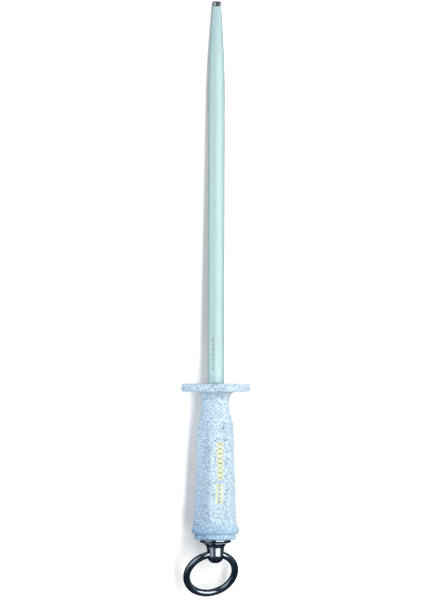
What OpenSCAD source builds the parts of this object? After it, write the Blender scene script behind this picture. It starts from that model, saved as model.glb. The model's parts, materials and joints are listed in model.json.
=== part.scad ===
// Butcher's sharpening steel: a round rod on a six-sided, guarded handle, with a swivel eye and a hanging ring.
// The rod lies along +Y with its tip at the +Y end, and +Z is up.
// The origin is on the rod's axis, where the rod leaves the guard's front face.

/* [Rod] */
// Diameter of the parallel part of the rod
rod_d = 13; // [12:0.5:15]
// Length of the rod from the guard to its tip
rod_length = 300; // [250:5:360]
// Length of the long taper that ends in the nose
taper_length = 80; // [60:5:100]
// Diameter of the plain nose at the tip
nose_d = 6.3; // [5:0.1:8]
// Length of the plain nose
nose_length = 3.6; // [2:0.2:6]

/* [Guard] */
// Diameter of the guard
guard_d = 54; // [48:1:60]
// Thickness of the guard
guard_t = 6.3; // [5:0.1:8]

/* [Handle] */
// Length of the handle, from the guard's front face to its joint with the end cap
handle_length = 118.4; // [116:0.4:130]
// Diameter of the round neck behind the guard
neck_d = 21.6; // [20:0.2:23]
// Distance across the flats at the front of the grip
grip_front_flats = 26; // [25:0.2:27]
// Distance across the flats at the rear of the grip
grip_rear_flats = 30.4; // [29:0.2:31]
// Diameter of the bead at the rear of the grip
bead_d = 37.8; // [37:0.1:40]
// Angle that the flats are turned about the rod's axis, from straight up towards +X
grip_roll = 13; // [0:1:30]

/* [End cap] */
// Diameter of the end cap
cap_d = 32.8; // [31:0.1:33]
// Length of the end cap behind the handle
cap_length = 4.2; // [4:0.1:5]

/* [Swivel] */
// Diameter of the swivel base's flange
flange_d = 24.6; // [23:0.2:26]
// Diameter of the eye's barrel and of its ball end
eye_d = 13.4; // [13:0.1:14]
// Diameter of the swivel's stem
stem_d = 5; // [4:0.1:5.4]
// Angle that the eye's cross hole is turned to, about the rod's axis
eye_turn = 17.6; // [0:0.2:20]

/* [Ring] */
// Diameter of the ring along the middle of its wire
ring_d = 39; // [38:0.5:42]
// Diameter of the ring's wire
wire_d = 5.5; // [4.5:0.1:5.6]
// Angle that the ring leans down from straight behind the handle
ring_lean = 37.5; // [0:0.5:37.5]

/* [Hidden] */
$fn = 96;

over = 1;                   // how far a cut runs past the face it opens
fit = 0.05;                 // radial play of the parts on the tang, and of the stem in its hole
seat_gap = 0.1;             // play of the tang and of the end cap in the moulded handle
move_gap = 0.3;             // gap between faces that turn past each other
loop_gap = 0.5;             // play of the ring's wire in the eye

// Rod and tang. Places called "back" are measured from the guard's front face towards the ring.
rod_r = rod_d / 2;
nose_r = nose_d / 2;
nose_chamfer = 0.8;
nose_step = 0.15;           // how far the cut part of the rod stands out past the nose
taper_steps = 14;
root_d = 12.4;              // the rod's root, let into the guard's front face
root_length = 1.5;
spigot_d = 10.5;            // round spigot behind the root's shoulder
spigot_back = 8;
key_w = 7.4;                // square length of tang that stops the handle turning on the rod
key_back = 30;
tang_d = 8;                 // round tang, threaded M8 at its end
tang_back = handle_length - 3.2;

// Guard, neck and grip
rim_front_r = 0.9;          // rounds of the rim's front and back edges
rim_back_r = 1.3;
neck_fillet = 5.5;
neck_back = 17;
shoulder_slope = 14.5;
grip_front = 36.5;
grip_rear = handle_length - 11.4;
facets = 6;
corner_share = 1.12;        // radius of the round corners over the distance out to the flats
scoop_back = grip_rear - 2; // each flat ends in a scoop that starts here
scoop_r = 9;
bead_arc_r = 4.4;
bead_back = handle_length - 3.8;
joint_half = 0.25;          // half the width of the groove at the joint with the end cap
joint_depth = 0.9;
neck_r = neck_d / 2;
grip_front_r = corner_share * grip_front_flats / 2;
grip_rear_r = corner_share * grip_rear_flats / 2;

// Nut and washers in the handle's rear recess
nut_seat = handle_length - 19.4;
recess_d = 20;
washer_d = 17;
washer_t = 1.6;
lock_d = 14.4;
lock_t = 2;
lock_split = 0.8;
nut_flats = 13;
nut_t = 6.5;
nut_chamfer = 1;

// End cap, swivel base and stem
cap_back = handle_length + cap_length;
cap_round = 1.8;
cap_spigot_length = 5;
hub_d = 12;
hub_front = cap_back - 12.5;
hub_floor = cap_back - 2;   // the floor that the thrust washer lies on
edge = 0.4;                 // broken edges on the turned metal parts
flange_rim = 1.7;
flange_back = cap_back + 2.6;
flange_back_r = 10.6;
thrust_d = 7.8;
thrust_t = 1;
head_d = 7.4;
head_t = 1.7;
head_back = hub_floor - thrust_t - move_gap;

// Eye and ring
eye_r = eye_d / 2;
hole_back = cap_back + 11.1;
ball_back = hole_back + 0.8;
ball_flat = 0.25;           // depth of the small flat on the ball's end
collar_front = flange_back + move_gap;
collar_r = 9.2;
collar_lip = 0.4;
waist_back = hole_back - 3.2;
ring_r = ring_d / 2;
wire_r = wire_d / 2;

// Points along an arc about a centre, as [radius, place along +Y].
function arc(centre, r, from, to, steps = 8) =
    [for (i = [0 : steps]) centre + r * [cos(from + (to - from) * i / steps), sin(from + (to - from) * i / steps)]];

// Radius of the rod at a share of its taper: 0 where the taper starts, 1 at the nose.
function taper_r(share) = rod_r - (rod_r - nose_r - nose_step) * share * share;

// Half the length of the bead's arc at a given radius.
function bead_half(r) = sqrt(pow(bead_arc_r, 2) - pow(r - bead_d / 2 + bead_arc_r, 2));

// Turns a piece drawn up +Z so that it lies along +Y.
module along_rod() rotate([-90, 0, 0]) children();

// A piece turned about the rod's axis, from an outline of [radius, place along +Y].
module turned(outline) along_rod() rotate_extrude() polygon(outline);

// A plain cylinder on the rod's axis, between two places back from the guard's front face.
module bar(d, front, back) translate([0, -back, 0]) along_rod() cylinder(d = d, h = back - front);

// A square bar on the rod's axis, between two places back from the guard's front face.
module square_bar(w, front, back) translate([-w / 2, -back, -w / 2]) cube([w, back - front, w]);

// The rod is one turned and forged piece: nose, long taper, parallel part, root, spigot, square key and tang.
module sharpening_rod() color("lightsteelblue") {
    nose_start = rod_length - nose_length;
    taper_run = taper_length - nose_length;
    turned(concat(
        [[0, 0], [rod_r, 0]],
        [for (i = [0 : taper_steps]) [taper_r(i / taper_steps), nose_start - taper_run * (1 - i / taper_steps)]],
        [[nose_r, nose_start], [nose_r, rod_length - nose_chamfer], [nose_r - nose_chamfer, rod_length],
         [0, rod_length]]));
    bar(root_d, -over, root_length);
    bar(spigot_d, root_length - over, spigot_back);
    square_bar(key_w, spigot_back - over, key_back);
    bar(tang_d, key_back - over, tang_back);
}

// Outline of the handle before its flats are cut.
function handle_outline() =
    let (rise = grip_front_r - neck_r,
         run = grip_front - neck_back,
         shoulder_r = (run * sin(shoulder_slope) - rise * cos(shoulder_slope)) / (2 * (1 - cos(shoulder_slope))),
         bead_end = handle_length - joint_half - bead_back)
    concat(
        [[0, 0]],
        arc([guard_d / 2 - rim_front_r, -rim_front_r], rim_front_r, 90, 0, 4),
        arc([guard_d / 2 - rim_back_r, -guard_t + rim_back_r], rim_back_r, 0, -90, 5),
        arc([neck_r + neck_fillet, -guard_t - neck_fillet], neck_fillet, 90, 180),
        arc([neck_r + shoulder_r, -neck_back], shoulder_r, 180, 180 + shoulder_slope, 5),
        arc([grip_front_r - shoulder_r, -grip_front], shoulder_r, shoulder_slope, 0, 5),
        [[grip_rear_r, -grip_rear]],
        arc([bead_d / 2 - bead_arc_r, -bead_back], bead_arc_r,
            asin(bead_half(grip_rear_r) / bead_arc_r), -asin(bead_end / bead_arc_r), 10),
        [[cap_d / 2 - joint_depth, -handle_length + joint_half], [cap_d / 2 - joint_depth, -handle_length],
         [0, -handle_length]]);

// The cutter for one flat. It follows the grip's taper and lifts out along a scoop at the rear.
module flat_cutter() {
    slope = atan((grip_rear_flats - grip_front_flats) / 2 / (grip_rear - grip_front));
    scoop_depth = grip_rear_flats / 2 - (grip_rear - scoop_back) * tan(slope);
    translate([0, -scoop_back, scoop_depth])
        rotate([-slope, 0, 0])
            rotate([90, 0, 90])
                linear_extrude(height = guard_d, center = true)
                    union() {
                        translate([0, scoop_r]) circle(r = scoop_r);
                        square([scoop_back - neck_back, 2 * scoop_r]);
                    }
}

// The handle and guard are one moulding, bored for the tang and recessed at the rear for its nut.
module handle() color("powderblue") difference() {
    turned(handle_outline());
    for (i = [0 : facets - 1]) rotate([0, grip_roll + i * 360 / facets, 0]) flat_cutter();
    bar(rod_d + 2 * seat_gap, -over, root_length);
    bar(spigot_d + 2 * seat_gap, root_length - over, spigot_back + seat_gap);
    square_bar(key_w + 2 * seat_gap, spigot_back, key_back + seat_gap);
    bar(tang_d + 2 * seat_gap, key_back, nut_seat + over);
    bar(recess_d, nut_seat, handle_length + over);
}

// The end cap closes the handle's recess. Its spigot centres it, and the swivel base clamps it.
module end_cap() color("powderblue") difference() {
    turned(concat(
        [[0, -handle_length + cap_spigot_length],
         [recess_d / 2 - seat_gap - edge, -handle_length + cap_spigot_length],
         [recess_d / 2 - seat_gap, -handle_length + cap_spigot_length - edge],
         [recess_d / 2 - seat_gap, -handle_length],
         [cap_d / 2 - joint_depth, -handle_length],
         [cap_d / 2 - joint_depth, -handle_length - joint_half],
         [cap_d / 2, -handle_length - joint_half]],
        arc([cap_d / 2 - cap_round, -cap_back + cap_round], cap_round, 0, -90),
        [[0, -cap_back]]));
    bar(hub_d + 2 * seat_gap, handle_length - cap_spigot_length - over, cap_back + over);
}

// Plain washer that spreads the tang nut's load on the moulding.
module tang_washer() color("silver") difference() {
    bar(washer_d, nut_seat, nut_seat + washer_t);
    bar(tang_d + 2 * fit, nut_seat - over, nut_seat + washer_t + over);
}

// Split spring washer under the tang nut.
module lock_washer() color("silver") difference() {
    front = nut_seat + washer_t;
    bar(lock_d, front, front + lock_t);
    bar(tang_d + 2 * fit, front - over, front + lock_t + over);
    translate([0, -front - lock_t / 2, (lock_d + tang_d) / 4])
        rotate([0, 0, 25])
            cube([lock_split, 3 * lock_t, lock_d / 2], center = true);
}

// Hexagon nut on the tang's thread, with its rear corners turned off.
module tang_nut() color("silver") difference() {
    front = nut_seat + washer_t + lock_t;
    corner_r = nut_flats / 2 / cos(30);
    intersection() {
        translate([0, -front - nut_t, 0]) along_rod() cylinder(r = corner_r, h = nut_t, $fn = 6);
        turned([[0, -front + over], [corner_r + over, -front + over], [corner_r + over, -front - nut_t + nut_chamfer],
                [nut_flats / 2, -front - nut_t], [0, -front - nut_t]]);
    }
    bar(tang_d + 2 * fit, front - over, front + nut_t + over);
}

// The swivel base: a hub that screws onto the tang's end, and the flange that shows behind the cap.
module swivel_base() color("slategray") difference() {
    turned([[0, -hub_front], [hub_d / 2 - edge, -hub_front], [hub_d / 2, -hub_front - edge],
            [hub_d / 2, -cap_back], [flange_d / 2 - edge, -cap_back], [flange_d / 2, -cap_back - edge],
            [flange_d / 2, -cap_back - flange_rim + edge], [flange_d / 2 - edge, -cap_back - flange_rim],
            [flange_back_r, -flange_back], [0, -flange_back]]);
    bar(tang_d + 2 * fit, hub_front - over, hub_floor);
    bar(stem_d + 2 * fit, hub_floor - over, flange_back + over);
}

// Thrust washer between the stem's riveted head and the floor of the hub.
module thrust_washer() color("silver") difference() {
    bar(thrust_d, hub_floor - thrust_t, hub_floor);
    bar(stem_d + 2 * fit, hub_floor - thrust_t - over, hub_floor + over);
}

// The eye's cross hole, drawn up +Z. It widens towards its mouths by the ring's own curve.
module eye_hole() rotate_extrude()
    difference() {
        translate([0, -eye_d]) square([ring_r / 2, 2 * eye_d]);
        translate([ring_r + loop_gap, 0]) circle(r = ring_r - wire_r);
    }

// Outline of the eye's collar, which sweeps in from its lip to the barrel.
function collar_outline() =
    concat(
        [[collar_r - edge / 2, -collar_front], [collar_r, -collar_front - edge / 2]],
        [for (i = [0 : 8]) let (a = i * 90 / 8)
            [eye_r + (collar_r - eye_r) * (1 - sin(a)),
             -collar_front - collar_lip - (waist_back - collar_front - collar_lip) * (1 - cos(a))]]);

// The swivel eye: a stem with its riveted head, a flared collar, and a ball-ended barrel that holds the ring.
module swivel_eye() color("slategray") difference() {
    turned(concat(
        [[0, -head_back + head_t], [head_d / 2 - edge, -head_back + head_t], [head_d / 2, -head_back + head_t - edge],
         [head_d / 2, -head_back], [stem_d / 2, -head_back], [stem_d / 2, -collar_front]],
        collar_outline(),
        arc([0, -ball_back], eye_r, 0, -asin(1 - ball_flat / eye_r), 10),
        [[0, -ball_back - eye_r + ball_flat]]));
    translate([0, -hole_back, 0]) rotate([0, eye_turn + 90, 0]) eye_hole();
}

// The hanging ring, welded shut through the eye. It leans down almost as low as the guard's rim.
module hanging_ring() color("slategray")
    translate([0, -hole_back, 0])
        rotate([0, eye_turn, 0])
            rotate([ring_lean, 0, 0])
                translate([0, -ring_r, 0])
                    rotate_extrude() translate([ring_r, 0]) circle(d = wire_d, $fn = 48);

sharpening_rod();
handle();
end_cap();
tang_washer();
lock_washer();
tang_nut();
swivel_base();
thrust_washer();
swivel_eye();
hanging_ring();
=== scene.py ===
import json
from math import asin, cos, degrees, pi, radians, sin, sqrt

import bmesh
import bpy
from mathutils import Matrix, Vector

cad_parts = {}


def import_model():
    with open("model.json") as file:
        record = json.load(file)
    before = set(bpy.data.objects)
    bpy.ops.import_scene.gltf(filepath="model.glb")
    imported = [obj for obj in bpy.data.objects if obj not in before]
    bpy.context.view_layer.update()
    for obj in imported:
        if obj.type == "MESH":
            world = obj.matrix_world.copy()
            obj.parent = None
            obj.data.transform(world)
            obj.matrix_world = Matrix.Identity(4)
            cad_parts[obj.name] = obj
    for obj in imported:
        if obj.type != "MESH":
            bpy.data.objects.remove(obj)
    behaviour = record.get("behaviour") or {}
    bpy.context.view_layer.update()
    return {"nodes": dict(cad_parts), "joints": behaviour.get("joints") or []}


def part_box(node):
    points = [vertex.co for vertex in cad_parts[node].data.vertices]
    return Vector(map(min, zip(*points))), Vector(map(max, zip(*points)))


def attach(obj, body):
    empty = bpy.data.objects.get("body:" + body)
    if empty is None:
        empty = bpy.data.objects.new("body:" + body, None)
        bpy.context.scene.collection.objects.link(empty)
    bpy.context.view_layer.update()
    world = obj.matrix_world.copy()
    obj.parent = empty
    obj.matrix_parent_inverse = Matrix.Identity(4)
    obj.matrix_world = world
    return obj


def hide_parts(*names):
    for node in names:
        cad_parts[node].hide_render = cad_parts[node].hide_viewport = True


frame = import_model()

MM = 0.001

# Sizes of the object in millimetres. "Back" is a distance from the guard's front face towards the ring.
rod_low, rod_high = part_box("sharpening_rod")
ROD_R = rod_high.x / MM
ROD_LENGTH = rod_high.y / MM
TANG_BACK = -rod_low.y / MM
TAPER_LENGTH = 80
NOSE_R = 3.15
NOSE_LENGTH = 3.6
NOSE_STEP = 0.15
ROOT_R, ROOT_BACK = 6.2, 1.5
SPIGOT_R, SPIGOT_BACK = 5.25, 8
KEY_HALF, KEY_BACK = 3.7, 30
TANG_R = 4
SEAT_GAP = 0.1

handle_low, handle_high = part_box("handle")
HANDLE_LENGTH = -handle_low.y / MM
GUARD_R = handle_high.x / MM
GUARD_T = 6.3
RIM_FRONT_R, RIM_BACK_R = 0.9, 1.3
NECK_FILLET = 5.5
NECK_R, NECK_BACK = 10.8, 17
SHOULDER_SLOPE = radians(14.5)
GRIP_FRONT, GRIP_REAR = 36.5, HANDLE_LENGTH - 11.4
FLAT_FRONT, FLAT_REAR = 13.0, 15.2
CORNER_SHARE = 1.12
GRIP_FRONT_R, GRIP_REAR_R = CORNER_SHARE * FLAT_FRONT, CORNER_SHARE * FLAT_REAR
FACETS = 6
GRIP_ROLL = radians(13)
SCOOP_BACK, SCOOP_R = GRIP_REAR - 2, 9
BEAD_R, BEAD_ARC, BEAD_BACK = 18.9, 4.4, HANDLE_LENGTH - 3.8
JOINT_HALF, JOINT_DEPTH = 0.25, 0.9
RECESS_R, NUT_SEAT = 10, HANDLE_LENGTH - 19.4

cap_low, cap_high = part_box("end_cap")
CAP_R = cap_high.x / MM
CAP_BACK = -cap_low.y / MM
CAP_FRONT = -cap_high.y / MM
CAP_ROUND = 1.8

base_low, base_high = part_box("swivel_base")
FLANGE_R = base_high.x / MM
FLANGE_BACK = -base_low.y / MM
HUB_FRONT = -base_high.y / MM
FLANGE_RIM = 1.7
FLANGE_BACK_R = 10.6
HUB_R, HUB_BORE_R, HUB_FLOOR = 6, 4.05, CAP_BACK - 2
STEM_R, STEM_PLAY = 2.5, 0.05
HEAD_R, HEAD_T = 3.7, 1.7
HEAD_BACK = HUB_FLOOR - 1.3

hole = Vector(frame["joints"][1]["pos_m"]) / MM
HOLE_AXIS = Vector(frame["joints"][1]["axis"])
HOLE_BACK = -hole.y
EYE_R = 6.7
BALL_BACK = HOLE_BACK + 0.8
BALL_FLAT = 0.25
COLLAR_FRONT, COLLAR_R, COLLAR_LIP = FLANGE_BACK + 0.3, 9.2, 0.4
WAIST_BACK = HOLE_BACK - 3.2
RING_R, WIRE_R, LOOP_GAP = 19.5, 2.75, 0.5
RING_LEAN = radians(37.5)

# The table, in metres. The steel lies on its guard and its tip, so the table slopes under it and is level
# further out. It also dips behind the grip, because the ring at the end of its swing hangs below the slope.
FLOOR_Z = handle_low.z
FLOOR_SLOPE = (-NOSE_R * MM - FLOOR_Z) / rod_high.y
FLOOR_FRONT, FLOOR_REAR = rod_high.y, -0.2
DIP_DEPTH, DIP_FRONT, DIP_REAR = 0.004, -0.085, -0.118


# ---------------------------------------------------------------- mesh building

def arc(centre_r, centre_back, r, start, end, steps):
    """Points (radius, back) along an arc. 90 degrees points to the front and 0 outwards."""
    angles = [radians(start + (end - start) * i / steps) for i in range(steps + 1)]
    return [(centre_r + r * cos(a), centre_back - r * sin(a)) for a in angles]


def span(a, b, steps):
    """Evenly spaced points (radius, back) from a to b, both included."""
    return [tuple(p + (q - p) * i / steps for p, q in zip(a, b)) for i in range(steps + 1)]


def finish_mesh(name, bm, body, materials, smooth_angle):
    """Turns a bmesh in millimetres into a piece of the object that rides on a body."""
    same_place, no_length = 1e-5, 1e-6
    bmesh.ops.remove_doubles(bm, verts=bm.verts, dist=same_place)
    bmesh.ops.dissolve_degenerate(bm, edges=bm.edges, dist=no_length)
    bmesh.ops.recalc_face_normals(bm, faces=bm.faces)
    bmesh.ops.scale(bm, vec=(MM, MM, MM), verts=bm.verts)
    mesh = bpy.data.meshes.new(name)
    bm.to_mesh(mesh)
    bm.free()
    for material in materials:
        mesh.materials.append(material)
    mesh.shade_smooth()
    mesh.set_sharp_from_angle(angle=radians(smooth_angle))
    piece = bpy.data.objects.new(name, mesh)
    bpy.context.scene.collection.objects.link(piece)
    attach(piece, body)
    return piece


def lathe(stations, around, closed=False):
    """A surface about the rod's axis. Each station is (radius, back, shape, material index).
    shape(angle, radius, back) gives the radius at an angle from straight up. A radius of 0 makes a pole."""
    bm = bmesh.new()
    rings = []
    for radius, back, shape, index in stations:
        if radius == 0:
            rings.append([bm.verts.new((0, -back, 0))])
            continue
        ring = []
        for i in range(around):
            angle = 2 * pi * i / around
            r = shape(angle, radius, back) if shape else radius
            ring.append(bm.verts.new((r * sin(angle), -back, r * cos(angle))))
        rings.append(ring)
    pairs = list(zip(range(len(rings)), range(1, len(rings))))
    if closed:
        pairs.append((len(rings) - 1, 0))
    for a, b in pairs:
        one, two = rings[a], rings[b]
        for i in range(around):
            j = (i + 1) % around
            if len(one) == 1:
                corners = [one[0], two[i], two[j]]
            elif len(two) == 1:
                corners = [one[i], one[j], two[0]]
            else:
                corners = [one[i], one[j], two[j], two[i]]
            face = bm.faces.new(corners)
            face.material_index = stations[b][3]
    return bm


def plain(points, index=0):
    """Round stations from (radius, back) points."""
    return [(r, back, None, index) for r, back in points]


def shaped(points, shape):
    """Stations from (radius, back) points, with a section that isn't round."""
    return [(r, back, shape, 0) for r, back in points]


def square_section(angle, half, back):
    """A square bar's radius at an angle from straight up."""
    return half / max(abs(cos(angle)), abs(sin(angle)))


# ---------------------------------------------------------------- materials

def shader(name, **values):
    """A new material with one Principled shader, and its node tree."""
    material = bpy.data.materials.new(name)
    material.use_nodes = True
    tree = material.node_tree
    principled = tree.nodes["Principled BSDF"]
    for key, value in values.items():
        principled.inputs[key.replace("_", " ")].default_value = value
    return material, tree, principled


def add(tree, kind, **settings):
    """A node with its properties and its unlinked inputs set."""
    node = tree.nodes.new(kind)
    for key, value in settings.items():
        if hasattr(node, key):
            setattr(node, key, value)
        else:
            node.inputs[key.replace("_", " ")].default_value = value
    return node


def place(tree, stretch=(1, 1, 1)):
    """Object coordinates, stretched along each axis."""
    source = add(tree, "ShaderNodeTexCoord")
    mapping = add(tree, "ShaderNodeMapping", Scale=stretch)
    tree.links.new(source.outputs["Object"], mapping.inputs["Vector"])
    return mapping.outputs["Vector"]


def noise(tree, where, scale, detail=2.0, rough=0.5):
    """Soft random shades between about 0 and 1."""
    node = add(tree, "ShaderNodeTexNoise", Scale=scale, Detail=detail, Roughness=rough)
    tree.links.new(where, node.inputs["Vector"])
    return node.outputs["Fac"]


def spread(tree, value, low, high, to_low, to_high):
    """Maps a value from one range to another, clamped."""
    node = tree.nodes.new("ShaderNodeMapRange")
    for i, v in enumerate((low, high, to_low, to_high), 1):
        node.inputs[i].default_value = v
    tree.links.new(value, node.inputs[0])
    return node.outputs[0]


def blend_colour(tree, share, a, b):
    """Mixes two colours, or outputs, by a share."""
    node = tree.nodes.new("ShaderNodeMix")
    node.data_type = "RGBA"
    tree.links.new(share, node.inputs["Factor"])
    for socket, colour in ((node.inputs[6], a), (node.inputs[7], b)):
        if isinstance(colour, tuple):
            socket.default_value = (*colour, 1)
        else:
            tree.links.new(colour, socket)
    return node.outputs[2]


def bump(tree, principled, height, distance, under=None):
    """Relief of a depth in metres on the shader's normal, on top of an earlier relief if one is given."""
    node = add(tree, "ShaderNodeBump", Distance=distance, Strength=1.0)
    tree.links.new(height, node.inputs["Height"])
    if under:
        tree.links.new(under, node.inputs["Normal"])
    tree.links.new(node.outputs["Normal"], principled.inputs["Normal"])
    return node.outputs["Normal"]


def multiply(tree, a, b):
    """The product of two outputs."""
    node = add(tree, "ShaderNodeMath", operation="MULTIPLY")
    tree.links.new(a, node.inputs[0])
    tree.links.new(b, node.inputs[1])
    return node.outputs[0]


def pits(tree, where, scale, near, far):
    """Scattered pits of uneven depth: 1 in the middle of a deep one and 0 between them."""
    cells = add(tree, "ShaderNodeTexVoronoi", Scale=scale)
    tree.links.new(where, cells.inputs["Vector"])
    strength = add(tree, "ShaderNodeSeparateColor")
    tree.links.new(cells.outputs["Color"], strength.inputs["Color"])
    return multiply(tree, spread(tree, cells.outputs["Distance"], near, far, 1, 0),
                    spread(tree, strength.outputs[0], 0.0, 0.9, 0, 1))


PALE, PALER = (0.74, 0.88, 0.91), (0.78, 0.91, 0.93)
# The rear blue on the next line is painted shade for the bead and the cap; the dull and pore blues belong to
# the grain.
REAR_SHADE_BLUE, DULL_BLUE, PORE_BLUE = (0.55, 0.78, 0.90), (0.36, 0.54, 0.86), (0.12, 0.26, 0.55)
SATIN_DARK, SATIN_LIGHT, SATIN_WORN = (0.595, 0.785, 0.775), (0.65, 0.86, 0.85), (0.54, 0.72, 0.72)
ETCH_DARK, ETCH_LIGHT = (0.30, 0.34, 0.35), (0.42, 0.47, 0.48)
ZINC_DARK, ZINC_LIGHT = (0.50, 0.52, 0.54), (0.66, 0.67, 0.66)
TABLE_DARK, TABLE_LIGHT = (0.86, 0.86, 0.86), (0.9, 0.9, 0.9)
GLOW_NEAR, GLOW_FAR = (0.31, 0.305, 0.30), (0.85, 0.85, 0.85)


def plastic_material():
    """Pale blue moulded plastic with a coarse spark-eroded grain, darker and bluer from the bead to the cap
    as painted shade where the light falls off towards the ring.
    """
    material, tree, principled = shader("grip_plastic", IOR=1.5)
    where = place(tree)
    grain_depth, pore_depth, fine_depth = 0.0014, 0.0005, 0.00003
    grain = noise(tree, where, scale=860, detail=2.0, rough=0.6)
    pores = pits(tree, where, scale=1080, near=0.20, far=0.64)
    fine = noise(tree, where, scale=2600, detail=2.0, rough=0.5)
    cloud = noise(tree, where, scale=120, detail=3.0, rough=0.5)
    pale = blend_colour(tree, spread(tree, cloud, 0.35, 0.65, 0, 1), PALE, PALER)
    split = add(tree, "ShaderNodeSeparateXYZ")
    tree.links.new(where, split.inputs[0])
    # Painted shade: from the grip's rear end over the bead, and on the cap, the plastic is blended darker and
    # bluer, standing in for the light falling off towards the ring.
    rear = spread(tree, split.outputs["Y"], -GRIP_REAR * MM, -BEAD_BACK * MM, 0, 1)
    body = blend_colour(tree, rear, pale, REAR_SHADE_BLUE)
    dull = blend_colour(tree, spread(tree, grain, 0.44, 0.60, 0, 0.38), body, DULL_BLUE)
    speckled = blend_colour(tree, pores, dull, PORE_BLUE)
    tree.links.new(speckled, principled.inputs["Base Color"])
    tree.links.new(spread(tree, cloud, 0.3, 0.7, 0.44, 0.58), principled.inputs["Roughness"])
    relief = bump(tree, principled, fine, fine_depth)
    relief = bump(tree, principled, pores, -pore_depth, relief)
    bump(tree, principled, grain, grain_depth, relief)
    return material


def satin_material():
    """The cut part of the rod: satin chrome with lengthwise streaks."""
    material, tree, principled = shader("rod_satin", Metallic=0.75)
    streaks = noise(tree, place(tree, (1, 0.02, 1)), scale=1500, detail=3.0, rough=0.6)
    cloud = noise(tree, place(tree, (1, 0.25, 1)), scale=90, detail=3.0, rough=0.5)
    steel = blend_colour(tree, spread(tree, streaks, 0.3, 0.7, 0, 1), SATIN_DARK, SATIN_LIGHT)
    worn = blend_colour(tree, spread(tree, cloud, 0.5, 0.75, 0, 0.35), steel, SATIN_WORN)
    tree.links.new(worn, principled.inputs["Base Color"])
    tree.links.new(spread(tree, streaks, 0.3, 0.7, 0.46, 0.58), principled.inputs["Roughness"])
    bump(tree, principled, streaks, 0.00002)
    return material


def chrome_material(name, colour, rough):
    """Bright chrome with a light haze and fine scratches."""
    material, tree, principled = shader(name, Metallic=1.0, Roughness=rough)
    where = place(tree)
    haze = noise(tree, where, scale=260, detail=4.0, rough=0.6)
    scratches = noise(tree, place(tree, (1, 9, 1)), scale=1400, detail=2.0, rough=0.5)
    hazy = tuple(c * 0.9 for c in colour)
    shade = blend_colour(tree, spread(tree, haze, 0.4, 0.7, 0, 1), colour, hazy)
    tree.links.new(shade, principled.inputs["Base Color"])
    tree.links.new(spread(tree, haze, 0.35, 0.75, rough, rough + 0.10), principled.inputs["Roughness"])
    bump(tree, principled, scratches, 0.000003)
    return material


def foil_material(name, worn, bright):
    """Hot-foil print, worn thin in places."""
    material, tree, principled = shader(name, Metallic=0.4)
    wear = noise(tree, place(tree), scale=1500, detail=3.0, rough=0.6)
    shade = blend_colour(tree, spread(tree, wear, 0.45, 0.7, 0, 1), bright, worn)
    tree.links.new(shade, principled.inputs["Base Color"])
    tree.links.new(spread(tree, wear, 0.3, 0.7, 0.32, 0.5), principled.inputs["Roughness"])
    bump(tree, principled, wear, 0.00001)
    return material


def etch_material():
    """Etched marks on the rod, matte and dark."""
    material, tree, principled = shader("rod_etch", Metallic=0.9)
    frost = noise(tree, place(tree), scale=2500, detail=3.0, rough=0.6)
    shade = blend_colour(tree, spread(tree, frost, 0.35, 0.7, 0, 1), ETCH_DARK, ETCH_LIGHT)
    tree.links.new(shade, principled.inputs["Base Color"])
    tree.links.new(spread(tree, frost, 0.3, 0.7, 0.5, 0.7), principled.inputs["Roughness"])
    bump(tree, principled, frost, 0.00001)
    return material


def zinc_material():
    """Zinc-plated fasteners inside the handle."""
    material, tree, principled = shader("zinc_plate", Metallic=1.0)
    spangle = noise(tree, place(tree), scale=700, detail=3.0, rough=0.6)
    shade = blend_colour(tree, spread(tree, spangle, 0.35, 0.65, 0, 1), ZINC_DARK, ZINC_LIGHT)
    tree.links.new(shade, principled.inputs["Base Color"])
    tree.links.new(spread(tree, spangle, 0.3, 0.7, 0.28, 0.45), principled.inputs["Roughness"])
    bump(tree, principled, spangle, 0.00001)
    return material


def floor_material():
    """Plain white table that glows a little, and more so far out where the lamps don't reach."""
    material, tree, principled = shader("white_table", Roughness=0.9, Emission_Strength=1.0)
    principled.inputs["Specular IOR Level"].default_value = 0.1
    where = place(tree)
    near, far = 0.35, 2.5
    mottle = noise(tree, where, scale=6, detail=2.0, rough=0.5)
    white = blend_colour(tree, mottle, TABLE_DARK, TABLE_LIGHT)
    tree.links.new(white, principled.inputs["Base Color"])
    distance = add(tree, "ShaderNodeVectorMath", operation="LENGTH")
    tree.links.new(where, distance.inputs[0])
    glow = blend_colour(tree, spread(tree, distance.outputs["Value"], near, far, 0, 1), GLOW_NEAR, GLOW_FAR)
    tree.links.new(glow, principled.inputs["Emission Color"])
    return material


PLASTIC = plastic_material()
SATIN = satin_material()
# The nose's chrome is a darker copy of the swivel chrome: painted shade for the dark room reflected in the
# polished tip.
NOSE_SHADED_CHROME = chrome_material("nose_chrome_painted_dark", (0.44, 0.47, 0.50), 0.10)
CHROME = chrome_material("swivel_chrome", (0.58, 0.62, 0.66), 0.05)
FOIL = foil_material("foil_print", (0.66, 0.74, 0.62), (0.71, 0.73, 0.42))
FOIL_SHADE = foil_material("foil_shade", (0.34, 0.38, 0.24), (0.24, 0.26, 0.12))
ETCH = etch_material()
ZINC = zinc_material()


# ---------------------------------------------------------------- rod

RIDGES = 96
RIDGE_DEPTH = 0.04
RIDGE_RUNOUT = 3.0
POINTS_PER_RIDGE = 6


def taper_radius(y):
    """The rod's radius at a place along +Y, from the guard to the nose."""
    run = TAPER_LENGTH - NOSE_LENGTH
    share = max(0.0, (y - (ROD_LENGTH - TAPER_LENGTH)) / run)
    return ROD_R - (ROD_R - NOSE_R - NOSE_STEP) * share ** 2


def ridged(angle, radius, back):
    """The lengthwise cut. It fades out at the guard and towards the nose."""
    y = -back
    fade = min(1.0, y / RIDGE_RUNOUT, (ROD_LENGTH - NOSE_LENGTH - y) / RIDGE_RUNOUT)
    return radius - RIDGE_DEPTH * max(0.0, fade) * (0.5 - 0.5 * cos(RIDGES * angle))


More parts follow.
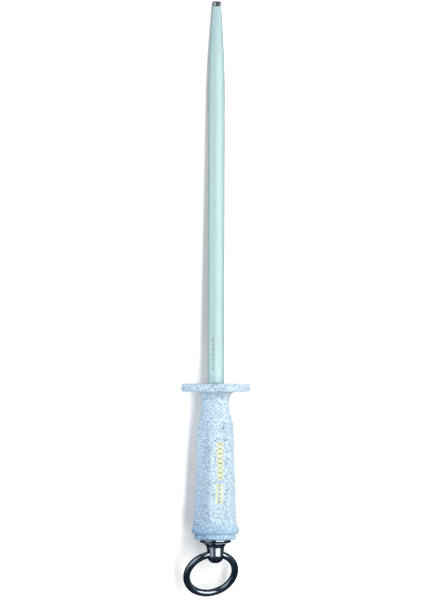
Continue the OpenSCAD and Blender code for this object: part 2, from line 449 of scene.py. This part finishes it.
def rod_piece():
    nose_start = ROD_LENGTH - NOSE_LENGTH
    edge, foot = 0.4, 0.12
    stations = plain([(0, TANG_BACK), (TANG_R - edge, TANG_BACK)])
    stations += plain([(TANG_R, TANG_BACK - edge), (TANG_R, KEY_BACK)])
    stations += shaped([(KEY_HALF, KEY_BACK), (KEY_HALF, SPIGOT_BACK)], square_section)
    stations += plain([(SPIGOT_R, SPIGOT_BACK), (SPIGOT_R, ROOT_BACK), (ROOT_R, ROOT_BACK), (ROOT_R, 0)])
    stations += plain([(ROD_R - foot, 0), (ROD_R, -foot)])
    # Places along +Y, closest together where the ridges fade out.
    places = [0.6, 1.2, 2, RIDGE_RUNOUT, 6] + [20 * i for i in range(1, 12)]
    places += [ROD_LENGTH - TAPER_LENGTH + 4 * i for i in range(1, 19)]
    places += [nose_start - RIDGE_RUNOUT + 0.5 * i for i in range(7)]
    stations += shaped([(taper_radius(y), -y) for y in places], ridged)
    step_middle, step_end = 0.12, 0.25
    stations += plain([(NOSE_R + NOSE_STEP * 0.3, -nose_start - step_middle),
                       (NOSE_R, -nose_start - step_end)], 1)
    chamfer, bow_run, bow_in = 0.8, 0.62, 0.1
    tip = -ROD_LENGTH
    stations += plain([(NOSE_R, tip + chamfer), (NOSE_R - bow_in, tip + chamfer * bow_run),
                       (NOSE_R - chamfer * bow_run, tip + bow_in), (NOSE_R - chamfer, tip),
                       (NOSE_R * 0.4, tip), (0, tip)], 1)
    bm = lathe(stations, RIDGES * POINTS_PER_RIDGE)
    piece = finish_mesh("rod_body", bm, "steel", [SATIN, NOSE_SHADED_CHROME], 60)
    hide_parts("sharpening_rod")
    return piece


# ---------------------------------------------------------------- handle

FLAT_SLOPE = (FLAT_REAR - FLAT_FRONT) / (GRIP_REAR - GRIP_FRONT)
EDGE_BLEND = 0.45


def flat_distance(back):
    """How far a flat lies from the axis, with the scoop that lifts it out at the rear."""
    distance = FLAT_FRONT + (back - GRIP_FRONT) * FLAT_SLOPE
    past = back - SCOOP_BACK
    if past > 0:
        distance += SCOOP_R - sqrt(max(0.0, SCOOP_R ** 2 - past ** 2))
    return distance


def soft_min(a, b, width):
    """The smaller of two numbers, blended where they differ by less than a width."""
    h = max(width - abs(a - b), 0.0) / width
    return min(a, b) - h * h * width / 4


def faceted(angle, radius, back):
    """The grip's section: round corners with six flats, their edges softened."""
    step = 2 * pi / FACETS
    off = (angle - GRIP_ROLL + step / 2) % step - step / 2
    return soft_min(radius, flat_distance(back) / cos(off), EDGE_BLEND)


def handle_piece():
    rise, run = GRIP_FRONT_R - NECK_R, GRIP_FRONT - NECK_BACK
    shoulder_r = (run * sin(SHOULDER_SLOPE) - rise * cos(SHOULDER_SLOPE)) / (2 * (1 - cos(SHOULDER_SLOPE)))
    slope = degrees(SHOULDER_SLOPE)
    bead_start = degrees(asin(sqrt(BEAD_ARC ** 2 - (GRIP_REAR_R - BEAD_R + BEAD_ARC) ** 2) / BEAD_ARC))
    bead_end = degrees(asin((HANDLE_LENGTH - JOINT_HALF - BEAD_BACK) / BEAD_ARC))
    first = arc(NECK_R + shoulder_r, NECK_BACK, shoulder_r, 180, 180 + slope, 8)
    second = arc(GRIP_FRONT_R - shoulder_r, GRIP_FRONT, shoulder_r, slope, 0, 8)
    scoop_start = (GRIP_REAR_R - (GRIP_REAR_R - GRIP_FRONT_R) * 4 / (GRIP_REAR - GRIP_FRONT), GRIP_REAR - 4)
    bead = arc(BEAD_R - BEAD_ARC, BEAD_BACK, BEAD_ARC, bead_start, -bead_end, 22)
    groove_r = CAP_R - JOINT_DEPTH
    joint_front = HANDLE_LENGTH - JOINT_HALF
    mouth, groove_in, groove_run = 0.12, 0.1, 0.05
    stations = plain([(ROD_R + SEAT_GAP, mouth), (ROD_R + SEAT_GAP + mouth, 0), (GUARD_R / 2, 0)])
    stations += plain(arc(GUARD_R - RIM_FRONT_R, RIM_FRONT_R, RIM_FRONT_R, 90, 0, 8))
    stations += plain(arc(GUARD_R - RIM_BACK_R, GUARD_T - RIM_BACK_R, RIM_BACK_R, 0, -90, 8))
    stations += plain(arc(NECK_R + NECK_FILLET, GUARD_T + NECK_FILLET, NECK_FILLET, 90, 180, 14))
    grip = span((NECK_R, GUARD_T + NECK_FILLET + 0.6), (NECK_R, NECK_BACK - 0.5), 4) + first
    grip += span(first[-1], second[0], 14)[1:-1] + second
    grip += span(second[-1], scoop_start, 24)[1:] + span(scoop_start, (GRIP_REAR_R, GRIP_REAR), 6)[1:]
    grip += span((GRIP_REAR_R, GRIP_REAR), bead[0], 7)[1:] + bead[1:]
    stations += shaped(grip, faceted)
    stations += plain([(groove_r + groove_in, joint_front), (groove_r, joint_front + groove_run),
                       (groove_r, HANDLE_LENGTH), (RECESS_R, HANDLE_LENGTH), (RECESS_R, NUT_SEAT),
                       (TANG_R + SEAT_GAP, NUT_SEAT), (TANG_R + SEAT_GAP, KEY_BACK + SEAT_GAP)])
    stations += shaped([(KEY_HALF + SEAT_GAP, KEY_BACK + SEAT_GAP),
                        (KEY_HALF + SEAT_GAP, SPIGOT_BACK + SEAT_GAP)], square_section)
    stations += plain([(SPIGOT_R + SEAT_GAP, SPIGOT_BACK + SEAT_GAP), (SPIGOT_R + SEAT_GAP, ROOT_BACK),
                       (ROD_R + SEAT_GAP, ROOT_BACK)])
    bm = lathe(stations, 264, closed=True)
    piece = finish_mesh("handle_moulding", bm, "steel", [PLASTIC], 40)
    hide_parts("handle")
    return piece


def cap_piece():
    groove_r = CAP_R - JOINT_DEPTH
    spigot_r = RECESS_R - SEAT_GAP
    bore_r = HUB_R + SEAT_GAP
    joint_rear = HANDLE_LENGTH + JOINT_HALF
    edge, lip_r, groove_in, groove_run = 0.4, 0.25, 0.1, 0.05
    stations = plain([(bore_r, CAP_FRONT), (spigot_r - edge, CAP_FRONT), (spigot_r, CAP_FRONT + edge),
                      (spigot_r, HANDLE_LENGTH), (groove_r, HANDLE_LENGTH),
                      (groove_r, joint_rear - groove_run), (groove_r + groove_in, joint_rear)])
    stations += plain(arc(CAP_R - lip_r, joint_rear + lip_r, lip_r, 90, 0, 4))
    stations += plain(arc(CAP_R - CAP_ROUND, CAP_BACK - CAP_ROUND, CAP_ROUND, 0, -90, 12))
    stations += plain([(bore_r + edge, CAP_BACK), (bore_r, CAP_BACK - edge)])
    bm = lathe(stations, 160, closed=True)
    piece = finish_mesh("end_cap_moulding", bm, "steel", [PLASTIC], 40)
    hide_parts("end_cap")
    return piece


# ---------------------------------------------------------------- swivel and ring

def flange_piece():
    edge, steps, mouth = 0.4, 4, 0.2
    rim_back = CAP_BACK + FLANGE_RIM
    stations = plain([(HUB_BORE_R, HUB_FRONT), (HUB_R - edge, HUB_FRONT)])
    stations += plain([(HUB_R, HUB_FRONT + edge), (HUB_R, CAP_BACK), (HUB_R + 0.2, CAP_BACK)])
    stations += plain(arc(FLANGE_R - edge, CAP_BACK + edge, edge, 90, 0, steps))
    stations += plain(arc(FLANGE_R - edge, rim_back - edge, edge, 0, -55, steps))
    stations += plain([(FLANGE_BACK_R + 0.2, FLANGE_BACK - 0.12), (FLANGE_BACK_R - 0.1, FLANGE_BACK)])
    bore = STEM_R + STEM_PLAY
    stations += plain([(bore + mouth, FLANGE_BACK), (bore, FLANGE_BACK - mouth)])
    stations += plain([(bore, HUB_FLOOR), (HUB_BORE_R, HUB_FLOOR)])
    bm = lathe(stations, 160, closed=True)
    piece = finish_mesh("swivel_flange", bm, "steel", [CHROME], 30)
    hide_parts("swivel_base")
    return piece


def eye_outline():
    """The eye's outline from the stem's head to the ball's end."""
    edge, collar_edge = 0.4, 0.2
    head_front = HEAD_BACK - HEAD_T
    points = [(0, head_front), (HEAD_R - edge, head_front), (HEAD_R, head_front + edge),
              (HEAD_R, HEAD_BACK), (STEM_R, HEAD_BACK), (STEM_R, COLLAR_FRONT)]
    points += arc(COLLAR_R - collar_edge, COLLAR_FRONT + collar_edge, collar_edge, 90, 0, 4)
    sweep = 14
    lip = COLLAR_FRONT + COLLAR_LIP
    for i in range(sweep + 1):
        a = i * pi / 2 / sweep
        radius = EYE_R + (COLLAR_R - EYE_R) * (1 - sin(a))
        points.append((radius, lip + (WAIST_BACK - lip) * (1 - cos(a))))
    points += span((EYE_R, WAIST_BACK), (EYE_R, BALL_BACK), 3)[1:-1]
    end_angle = degrees(asin(1 - BALL_FLAT / EYE_R))
    points += arc(0, BALL_BACK, EYE_R, 0, -end_angle, 20)
    points.append((0, BALL_BACK + EYE_R - BALL_FLAT))
    return points


def turn_to_hole(bm):
    """Moves a mesh drawn about +Z at the origin onto the eye's cross hole."""
    turn = Vector((0, 0, 1)).rotation_difference(HOLE_AXIS).to_matrix().to_4x4()
    bmesh.ops.transform(bm, matrix=Matrix.Translation(hole) @ turn, verts=bm.verts)


def hole_cutter():
    """The cross hole as a solid. It widens towards its mouths by the ring's own curve."""
    bm = bmesh.new()
    reach, rows, around = EYE_R * 1.5, 36, 96
    rings = []
    for j in range(rows + 1):
        z = -reach + 2 * reach * j / rows
        r = RING_R + LOOP_GAP - sqrt((RING_R - WIRE_R) ** 2 - z ** 2)
        rings.append([bm.verts.new((r * cos(2 * pi * i / around), r * sin(2 * pi * i / around), z))
                      for i in range(around)])
    for one, two in zip(rings, rings[1:]):
        for i in range(around):
            j = (i + 1) % around
            bm.faces.new([one[i], one[j], two[j], two[i]])
    bm.faces.new(rings[0][::-1])
    bm.faces.new(rings[-1])
    turn_to_hole(bm)
    return bm


def apply_modifiers(piece):
    """Bakes a piece's modifiers into its mesh."""
    bpy.context.view_layer.update()
    evaluated = piece.evaluated_get(bpy.context.evaluated_depsgraph_get())
    mesh = bpy.data.meshes.new_from_object(evaluated)
    piece.modifiers.clear()
    piece.data = mesh


def eye_piece():
    """The turned eye with its cross hole cut and the hole's mouths rounded off."""
    mouth_edge, sharp = 0.22 * MM, radians(35)
    bm = lathe(plain(eye_outline()), 128)
    piece = finish_mesh("swivel_eye_body", bm, "swivel", [CHROME], 30)
    cutter_mesh = bpy.data.meshes.new("hole_cutter")
    bm = hole_cutter()
    bmesh.ops.scale(bm, vec=(MM, MM, MM), verts=bm.verts)
    bm.to_mesh(cutter_mesh)
    bm.free()
    cutter = bpy.data.objects.new("hole_cutter", cutter_mesh)
    bpy.context.scene.collection.objects.link(cutter)
    cut = piece.modifiers.new("cross_hole", "BOOLEAN")
    cut.operation = "DIFFERENCE"
    cut.solver = "EXACT"
    cut.object = cutter
    soften = piece.modifiers.new("mouth_edge", "BEVEL")
    soften.width = mouth_edge
    soften.segments = 3
    soften.limit_method = "ANGLE"
    soften.angle_limit = sharp
    apply_modifiers(piece)
    bpy.data.objects.remove(cutter)
    piece.data.shade_smooth()
    piece.data.set_sharp_from_angle(angle=sharp)
    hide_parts("swivel_eye")
    return piece


def ring_piece():
    """The wire ring. It is drawn straight behind the hole and then leaned and turned with it."""
    around, section = 192, 40
    swing = Matrix.Rotation(RING_LEAN, 4, "X")
    turn = Matrix.Rotation(asin(-HOLE_AXIS.z), 4, "Y")
    bm = bmesh.new()
    rings = []
    for i in range(around):
        a = 2 * pi * i / around
        ring = []
        for j in range(section):
            b = 2 * pi * j / section
            ring.append(bm.verts.new(((RING_R + WIRE_R * cos(b)) * sin(a),
                                      -RING_R + (RING_R + WIRE_R * cos(b)) * cos(a), WIRE_R * sin(b))))
        rings.append(ring)
    for i in range(around):
        one, two = rings[i], rings[(i + 1) % around]
        for j in range(section):
            k = (j + 1) % section
            bm.faces.new([one[j], one[k], two[k], two[j]])
    bmesh.ops.transform(bm, matrix=Matrix.Translation(hole) @ turn @ swing, verts=bm.verts)
    piece = finish_mesh("hanging_ring_wire", bm, "ring", [CHROME], 60)
    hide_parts("hanging_ring")
    return piece


# ---------------------------------------------------------------- printed and etched ornament

def thin_plate(bm, outline, to_surface, low, high):
    """A flat outline as a thin closed plate that follows a surface. to_surface(u, v, height) places it."""
    top = [bm.verts.new(to_surface(u, v, high)) for u, v in outline]
    bottom = [bm.verts.new(to_surface(u, v, low)) for u, v in outline]
    for i in range(len(outline)):
        j = (i + 1) % len(outline)
        bm.faces.new([top[i], top[j], bottom[j], bottom[i]])
    bm.faces.new(top)
    bm.faces.new(bottom)


def on_flat(u, v, height):
    """A place on the front flat: u across it, v along +Y, height off it, in millimetres."""
    distance = flat_distance(-v) + height
    across = Vector((cos(GRIP_ROLL), 0, -sin(GRIP_ROLL)))
    out = Vector((sin(GRIP_ROLL), 0, cos(GRIP_ROLL)))
    return across * u + out * distance + Vector((0, v, 0))


def on_rod(u, v, height):
    """A place on the rod: u round it, v along +Y, height off it, in millimetres."""
    angle = u / ROD_R
    r = ROD_R + height
    return Vector((r * sin(angle), v, r * cos(angle)))


def lozenge(u, v, half_u, half_v, lean=0.0):
    """A four-cornered outline with eight points, so that its sides can follow a round surface."""
    corners = [(half_u, 0), (0, half_v), (-half_u, 0), (0, -half_v)]
    points = []
    for (a, b), (c, d) in zip(corners, corners[1:] + corners[:1]):
        points += [(a, b), ((a + c) * 0.5, (b + d) * 0.5)]
    return [(u + a + lean * b, v + b) for a, b in points]


def foil_piece():
    """A generic gold ornament on the front flat: a chain of pale lozenges with darker ones on them, then a
    shorter double row."""
    bm = bmesh.new()
    shift = 0.5
    under, foil_top, shade_top = -0.03, 0.035, 0.05

    def pale(u, v, half_u, half_v, lean=0.0):
        thin_plate(bm, lozenge(shift + u, v, half_u, half_v, lean), on_flat, under, foil_top)

    def dark(u, v, half_u, half_v, lean=0.0):
        first = len(bm.faces)
        thin_plate(bm, lozenge(shift + u, v, half_u, half_v, lean), on_flat, foil_top / 2, shade_top)
        bm.faces.ensure_lookup_table()
        for face in bm.faces[first:]:
            face.material_index = 1

    chain_top, chain_end, links = -45.5, -75.5, 8
    pitch = (chain_end - chain_top) / links
    for i in range(links):
        v = chain_top + pitch * (i + 0.5)
        pale(0, v, 3.6 if i % 2 == 0 else 3.0, abs(pitch) * 0.49, 0.15)
        dark(0, v, 2.6 if i % 2 == 0 else 2.0, 0.62, 0.15)
        for side in (-1, 1):
            if i < links - 1:
                pale(side * 2.1, v + pitch * 0.5, 0.95, 0.95)
                dark(side * 1.9, v + pitch * 0.5, 0.5, 0.5)
    row_top, row_end, bars = -78.5, -94.5, 5
    pitch = (row_end - row_top) / bars
    for i in range(bars):
        v = row_top + pitch * (i + 0.5)
        for side in (-1, 1):
            pale(side * 1.6 - 0.9, v, 1.9, 1.5)
        dark(-0.9, v, 2.4, 0.55)
    return finish_mesh("foil_ornament", bm, "steel", [FOIL, FOIL_SHADE], 30)


def etch_piece():
    """Faint generic marks etched along the rod near the guard: a row of wide and narrow lozenges, and a finer
    row beside it."""
    bm = bmesh.new()
    start, end, marks = 10.5, 37.0, 14
    pitch = (end - start) / marks
    low, high = -0.1, 0.012
    main_u, fine_u = -2.3, 2.2
    for i in range(marks):
        v = start + pitch * (i + 0.5)
        half_u = (1.0, 0.55, 0.85, 0.4)[i % 4]
        thin_plate(bm, lozenge(main_u, v, half_u, pitch * 0.42), on_rod, low, high)
        if i % 2:
            thin_plate(bm, lozenge(fine_u, v, 0.4, pitch * 0.25), on_rod, low, high)
    return finish_mesh("rod_etching", bm, "steel", [ETCH], 30)


rod = rod_piece()
handle = handle_piece()
cap = cap_piece()
flange = flange_piece()
eye = eye_piece()
ring = ring_piece()
foil = foil_piece()
etching = etch_piece()
for node in ("tang_washer", "lock_washer", "tang_nut", "thrust_washer"):
    obj = frame["nodes"][node]
    obj.data.materials.clear()
    obj.data.materials.append(ZINC)


# ---------------------------------------------------------------- stage, light and camera

def floor_height(y):
    """The table's height at a place along +Y, in metres."""
    gap = 0.0002
    dip = DIP_DEPTH * min(max((DIP_FRONT - y) / (DIP_FRONT - DIP_REAR), 0), 1)
    return FLOOR_Z - gap - dip + FLOOR_SLOPE * min(max(y, FLOOR_REAR), FLOOR_FRONT)


def floor():
    """A round sheet whose height follows the slope under the steel."""
    radius, rings, around, crowding = 9.0, 60, 96, 3
    bm = bmesh.new()
    middle = bm.verts.new((0, 0, floor_height(0)))
    inner = None
    for j in range(1, rings + 1):
        r = radius * (j / rings) ** crowding
        ring = []
        for i in range(around):
            x, y = r * sin(2 * pi * i / around), r * cos(2 * pi * i / around)
            ring.append(bm.verts.new((x, y, floor_height(y))))
        for i in range(around):
            k = (i + 1) % around
            corners = [inner[i], ring[i], ring[k], inner[k]] if inner else [middle, ring[i], ring[k]]
            bm.faces.new(corners)
        inner = ring
    bmesh.ops.recalc_face_normals(bm, faces=bm.faces)
    mesh = bpy.data.meshes.new("table_top")
    bm.to_mesh(mesh)
    bm.free()
    mesh.shade_smooth()
    mesh.materials.append(floor_material())
    obj = bpy.data.objects.new("table_top", mesh)
    obj.visible_glossy = False
    bpy.context.scene.collection.objects.link(obj)


def panel(name, lean, turn, distance, width, length, glow, colour=(1, 1, 1),
          lit=True, mirrored=True, only=None, along=0.05):
    """A soft panel that faces the object. lean is its angle from straight up, and turn is the way it leans,
    0 for +X. lit says whether it lights surfaces, and mirrored says whether it shows in reflections.
    only lists the pieces it serves, and along is the place along the rod that it faces."""
    lean, turn = radians(lean), radians(turn)
    light = bpy.data.lights.new(name, "AREA")
    light.shape = "RECTANGLE"
    light.size, light.size_y = width, length
    light.energy = glow * pi * width * length
    light.color = colour
    obj = bpy.data.objects.new(name, light)
    out = Vector((sin(lean) * cos(turn), sin(lean) * sin(turn), cos(lean)))
    obj.location = Vector((0, along, FLOOR_Z)) + out * distance
    across = Vector((-sin(turn), cos(turn), 0))
    obj.rotation_euler = Matrix((across.cross(out), across, out)).transposed().to_euler()
    obj.visible_camera = False
    obj.visible_diffuse = lit
    obj.visible_glossy = mirrored
    if only:
        served = bpy.data.collections.new(name + "_serves")
        for piece in only:
            served.objects.link(piece)
        obj.light_linking.receiver_collection = served
    bpy.context.scene.collection.objects.link(obj)


def lights(rods, plastics, chromes):
    """One key light, fills, and cards for the reflections in the rod and in the chrome."""
    cool = (0.85, 0.93, 1.0)
    left_cards = ((-26, 0.16, 0.35), (-44, 0.36, 0.75), (-64, 0.24, 0.5), (-80, 0.2, 0.3))
    panel("key", 13.5, 0, 1.5, 0.26, 1.6, 22.0, mirrored=False)
    panel("side_right", 78, 0, 1.2, 0.9, 1.2, 2.25, mirrored=False, along=0.2)
    panel("tip_fill", 50, 90, 1.5, 0.9, 0.9, 0.45, mirrored=False)
    panel("ring_fill", 50, -90, 1.5, 0.9, 0.9, 0.1, mirrored=False)
    panel("rod_left", -76, 0, 0.55, 0.3, 0.4, 3.5, (0.64, 0.84, 1.0), mirrored=False, only=rods, along=0.14)
    panel("guard_left", -72, 0, 0.1, 0.08, 0.08, 2.2, (0.88, 0.96, 1.0),
          mirrored=False, only=plastics, along=-0.004)
    panel("cap_left", -72, 0, 0.2, 0.2, 0.2, 0.75, (0.12, 0.5, 1.2),
          mirrored=False, only=plastics, along=-0.14)
    panel("softbox", 36, 0, 1.5, 1.8, 1.4, 1.6, lit=False, only=chromes)
    for i, (lean, width, glow) in enumerate(left_cards):
        panel("left_card_%d" % i, lean, 0, 1.0, width, 1.2, glow, cool, lit=False, only=chromes)
    panel("right_card", 84, 0, 1.4, 0.8, 1.2, 0.14, (0.7, 0.9, 1.0), lit=False, only=chromes)
    panel("rod_softbox", 28, 0, 1.5, 1.8, 1.4, 1.7, lit=False, only=rods)
    panel("rod_card_left", -66, 0, 1.2, 1.9, 1.6, 0.95, lit=False, only=rods)
    panel("rod_card_right", 88, 0, 1.2, 1.0, 1.6, 0.7, lit=False, only=rods)


def world():
    """A dim, uneven room in the chrome, and a pale backdrop behind the table."""
    dark, bright, backdrop_white = (0.002, 0.008, 0.022), (0.09, 0.125, 0.16), (0.9, 0.9, 0.9, 1)
    studio = bpy.data.worlds.new("studio")
    bpy.context.scene.world = studio
    studio.use_nodes = True
    tree = studio.node_tree
    tree.nodes.clear()
    source = add(tree, "ShaderNodeTexCoord")
    clutter = noise(tree, source.outputs["Generated"], scale=2.2, detail=4.0, rough=0.6)
    dim = blend_colour(tree, spread(tree, clutter, 0.48, 0.66, 0, 1), dark, bright)
    room = add(tree, "ShaderNodeBackground", Strength=1.0)
    tree.links.new(dim, room.inputs["Color"])
    backdrop = add(tree, "ShaderNodeBackground", Color=backdrop_white, Strength=1.0)
    path = add(tree, "ShaderNodeLightPath")
    mix = add(tree, "ShaderNodeMixShader")
    output = add(tree, "ShaderNodeOutputWorld")
    tree.links.new(path.outputs["Is Camera Ray"], mix.inputs[0])
    tree.links.new(room.outputs[0], mix.inputs[1])
    tree.links.new(backdrop.outputs[0], mix.inputs[2])
    tree.links.new(mix.outputs[0], output.inputs["Surface"])


def camera():
    """Straight above, with the handle towards the bottom of the frame."""
    height, view_length = 15.0, 0.471
    aim_x, aim_y, roll = -0.0032, 0.0657, radians(0.17)
    data = bpy.data.cameras.new("camera")
    data.sensor_fit = "VERTICAL"
    data.sensor_height = 24
    data.lens = data.sensor_height * height / view_length
    data.clip_end = 100
    obj = bpy.data.objects.new("camera", data)
    obj.location = (aim_x, aim_y, height)
    obj.rotation_euler = (0, 0, roll)
    bpy.context.scene.collection.objects.link(obj)
    bpy.context.scene.camera = obj


floor()
lights([rod, etching], [handle, cap, foil], [flange, eye, ring, foil])
world()
camera()
view_settings = bpy.context.scene.view_settings
view_settings.view_transform = "Standard"
view_settings.look = "None"
